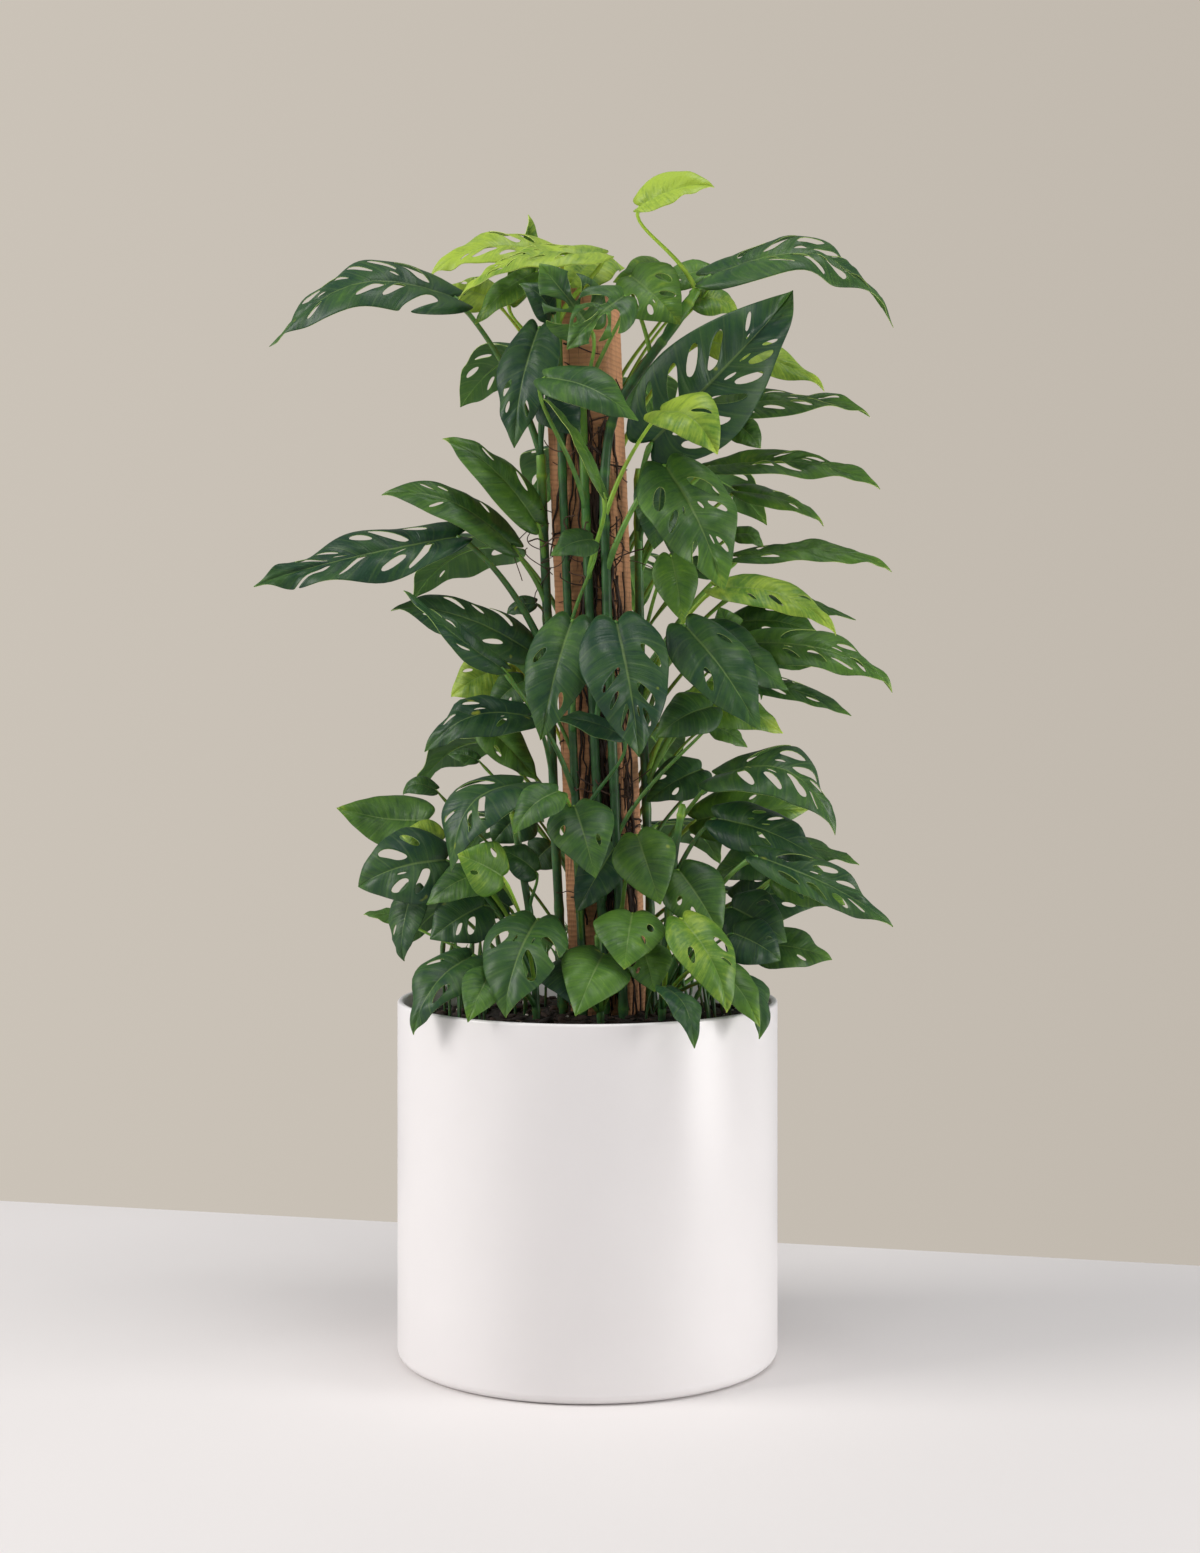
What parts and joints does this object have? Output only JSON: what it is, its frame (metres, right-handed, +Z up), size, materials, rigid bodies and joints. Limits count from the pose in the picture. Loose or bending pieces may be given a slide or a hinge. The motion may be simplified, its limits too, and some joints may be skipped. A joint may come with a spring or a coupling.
{
  "type": "potted swiss cheese vine",
  "caption": "Climbing vine with holed leaves, trained up a square timber stake, in a tall plain white cylinder pot.",
  "frame": {"origin": "centre of the flat face that the pot stands on", "axes": "+Z up; the front of the plant, as pictured, faces -Y; +X is to the right seen from the front"},
  "size_m": [0.5054, 0.3646, 0.9299],
  "materials": {
    "pot": "smooth satin white",
    "potting_mix": "loose dark bark and peat",
    "stake": "rough sawn",
    "foliage": "satin green leaf"
  },
  "bodies": {
    "root": {"pot": "pot", "potting_mix": "potting_mix", "stake": "stake", "vine_left": "foliage", "vine_front_left": "foliage", "vine_front_mid": "foliage", "vine_front_right": "foliage", "vine_right": "foliage", "vine_back_right": "foliage", "vine_back_left": "foliage", "shoot_left": "foliage", "shoot_front": "foliage", "shoot_right": "foliage", "shoot_back": "foliage"}
  },
  "joints": []
}
